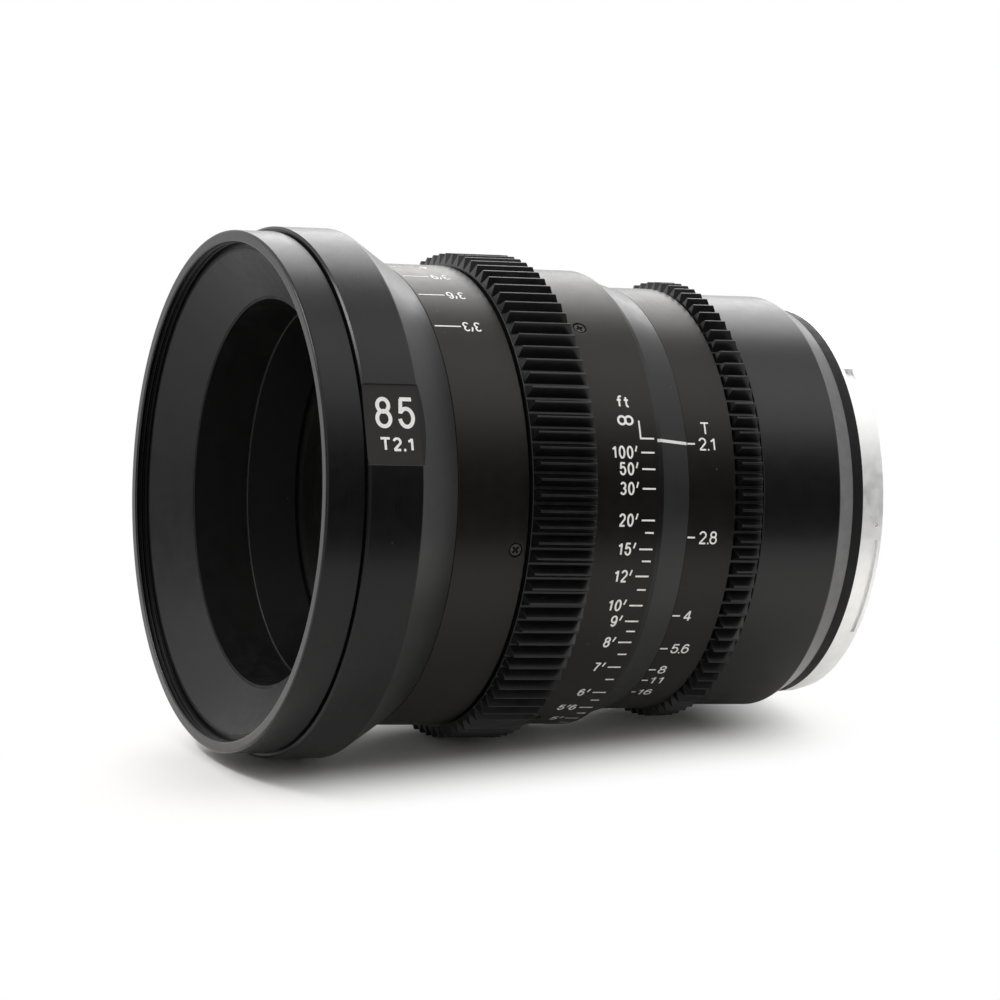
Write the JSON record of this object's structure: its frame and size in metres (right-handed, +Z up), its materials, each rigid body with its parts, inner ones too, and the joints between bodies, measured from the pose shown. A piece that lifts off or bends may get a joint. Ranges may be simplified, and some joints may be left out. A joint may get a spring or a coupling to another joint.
{
  "type": "cinema prime lens",
  "caption": "Cinema prime lens with geared focus and iris rings, a filter-thread front ring, a cam-driven sliding optical block, a bladed iris and a bayonet mount.",
  "frame": {"origin": "centre of the mount's flange face, on the optical axis", "axes": "+Y along the optical axis from the front rim towards the camera, +Z up, +X to the side that carries the near scales; the index line is 25.5 degrees above level on +X"},
  "size_m": [0.0866, 0.1092, 0.0866],
  "materials": {
    "black_anodised": "satin black anodised",
    "gear_black": "satin black anodised, machined teeth",
    "graphite_anodised": "satin dark grey anodised",
    "matte_black": "matte black, anti-reflection",
    "satin_grey": "fine turned satin grey",
    "polished_steel": "polished, plated",
    "screw_steel": "blackened steel",
    "bronze": "turned bearing bronze",
    "blade_steel": "dry-film black",
    "coated_glass": "multi-coated optical glass"
  },
  "bodies": {
    "barrel": {"main_barrel": "matte_black", "front_barrel": "black_anodised", "filter_ring": "black_anodised", "front_funnel": "satin_grey", "index_ring": "graphite_anodised", "rear_barrel": "black_anodised", "mount_spacer": "matte_black", "bayonet_mount": "polished_steel", "mount_screws": "screw_steel", "rear_baffle": "matte_black", "front_thrust_washer": "bronze", "rear_thrust_washer": "bronze"},
    "focus_ring": {"focus_front_sleeve": "black_anodised", "focus_gear": "gear_black", "focus_scale_sleeve": "black_anodised", "focus_cam_sleeve": "bronze", "focus_front_screws": "screw_steel", "focus_rear_screws": "screw_steel"},
    "optical_block": {"lens_block": "matte_black", "nose_ring": "matte_black", "front_element": "coated_glass", "front_spacer": "matte_black", "front_cell": "matte_black", "front_retainer": "matte_black", "front_doublet_crown": "coated_glass", "front_doublet_flint": "coated_glass", "iris_base_plate": "matte_black", "rear_cell": "matte_black", "rear_doublet_flint": "coated_glass", "rear_doublet_crown": "coated_glass", "rear_spacer": "matte_black", "rear_element": "coated_glass", "rear_retainer": "matte_black", "cam_follower_pins": "screw_steel"},
    "iris_ring": {"iris_ring": "black_anodised", "iris_gear": "gear_black", "iris_fork_pin": "screw_steel"},
    "iris_drive": {"iris_drive_ring": "blade_steel"},
    "iris_blade_1": {"iris_blade_1": "blade_steel"},
    "iris_blade_2": {"iris_blade_2": "blade_steel"},
    "iris_blade_3": {"iris_blade_3": "blade_steel"},
    "iris_blade_4": {"iris_blade_4": "blade_steel"},
    "iris_blade_5": {"iris_blade_5": "blade_steel"},
    "iris_blade_6": {"iris_blade_6": "blade_steel"},
    "iris_blade_7": {"iris_blade_7": "blade_steel"},
    "iris_blade_8": {"iris_blade_8": "blade_steel"},
    "iris_blade_9": {"iris_blade_9": "blade_steel"},
    "iris_blade_10": {"iris_blade_10": "blade_steel"}
  },
  "joints": [
    {"name": "focus_turn", "type": "hinge", "parent": "barrel", "child": "focus_ring", "pos_m": [0, 0, 0], "axis": [0, -1, 0], "range_deg": [0, 150]},
    {"name": "focus_slide", "type": "slide", "parent": "barrel", "child": "optical_block", "axis": [0, -1, 0], "range_m": [0, 0.0086]},
    {"name": "iris_turn", "type": "hinge", "parent": "barrel", "child": "iris_ring", "pos_m": [0, 0, 0], "axis": [0, -1, 0], "range_deg": [0, 80]},
    {"name": "iris_drive_turn", "type": "hinge", "parent": "optical_block", "child": "iris_drive", "pos_m": [0, 0, 0], "axis": [0, -1, 0], "range_deg": [0, 80]},
    {"name": "iris_blade_1_pivot", "type": "hinge", "parent": "optical_block", "child": "iris_blade_1", "pos_m": [0.01314, -0.04198, -0.0228], "axis": [0.0717, -0.9929, -0.0952], "range_deg": [0, 31]},
    {"name": "iris_blade_2_pivot", "type": "hinge", "parent": "optical_block", "child": "iris_blade_2", "pos_m": [0.02403, -0.04198, -0.01072], "axis": [0.1139, -0.9929, -0.0348], "range_deg": [0, 31]},
    {"name": "iris_blade_3_pivot", "type": "hinge", "parent": "optical_block", "child": "iris_blade_3", "pos_m": [0.02574, -0.04198, 0.00545], "axis": [0.1127, -0.9929, 0.0388], "range_deg": [0, 31]},
    {"name": "iris_blade_4_pivot", "type": "hinge", "parent": "optical_block", "child": "iris_blade_4", "pos_m": [0.01762, -0.04198, 0.01954], "axis": [0.0683, -0.9929, 0.0976], "range_deg": [0, 31]},
    {"name": "iris_blade_5_pivot", "type": "hinge", "parent": "optical_block", "child": "iris_blade_5", "pos_m": [0.00277, -0.04198, 0.02617], "axis": [-0.0021, -0.9929, 0.1191], "range_deg": [0, 31]},
    {"name": "iris_blade_6_pivot", "type": "hinge", "parent": "optical_block", "child": "iris_blade_6", "pos_m": [-0.01314, -0.04198, 0.0228], "axis": [-0.0717, -0.9929, 0.0952], "range_deg": [0, 31]},
    {"name": "iris_blade_7_pivot", "type": "hinge", "parent": "optical_block", "child": "iris_blade_7", "pos_m": [-0.02403, -0.04198, 0.01072], "axis": [-0.1139, -0.9929, 0.0348], "range_deg": [0, 31]},
    {"name": "iris_blade_8_pivot", "type": "hinge", "parent": "optical_block", "child": "iris_blade_8", "pos_m": [-0.02574, -0.04198, -0.00545], "axis": [-0.1127, -0.9929, -0.0388], "range_deg": [0, 31]},
    {"name": "iris_blade_9_pivot", "type": "hinge", "parent": "optical_block", "child": "iris_blade_9", "pos_m": [-0.01762, -0.04198, -0.01954], "axis": [-0.0683, -0.9929, -0.0976], "range_deg": [0, 31]},
    {"name": "iris_blade_10_pivot", "type": "hinge", "parent": "optical_block", "child": "iris_blade_10", "pos_m": [-0.00277, -0.04198, -0.02617], "axis": [0.0021, -0.9929, -0.1191], "range_deg": [0, 31]}
  ],
  "couplings": [
    {"joint": "focus_slide", "follows": "focus_turn", "m_per_rad": 0.003285},
    {"joint": "iris_drive_turn", "follows": "iris_turn", "ratio": 1},
    {"joint": "iris_blade_1_pivot", "follows": "iris_turn", "ratio": 0.3836},
    {"joint": "iris_blade_2_pivot", "follows": "iris_turn", "ratio": 0.3836},
    {"joint": "iris_blade_3_pivot", "follows": "iris_turn", "ratio": 0.3836},
    {"joint": "iris_blade_4_pivot", "follows": "iris_turn", "ratio": 0.3836},
    {"joint": "iris_blade_5_pivot", "follows": "iris_turn", "ratio": 0.3836},
    {"joint": "iris_blade_6_pivot", "follows": "iris_turn", "ratio": 0.3836},
    {"joint": "iris_blade_7_pivot", "follows": "iris_turn", "ratio": 0.3836},
    {"joint": "iris_blade_8_pivot", "follows": "iris_turn", "ratio": 0.3836},
    {"joint": "iris_blade_9_pivot", "follows": "iris_turn", "ratio": 0.3836},
    {"joint": "iris_blade_10_pivot", "follows": "iris_turn", "ratio": 0.3836}
  ]
}
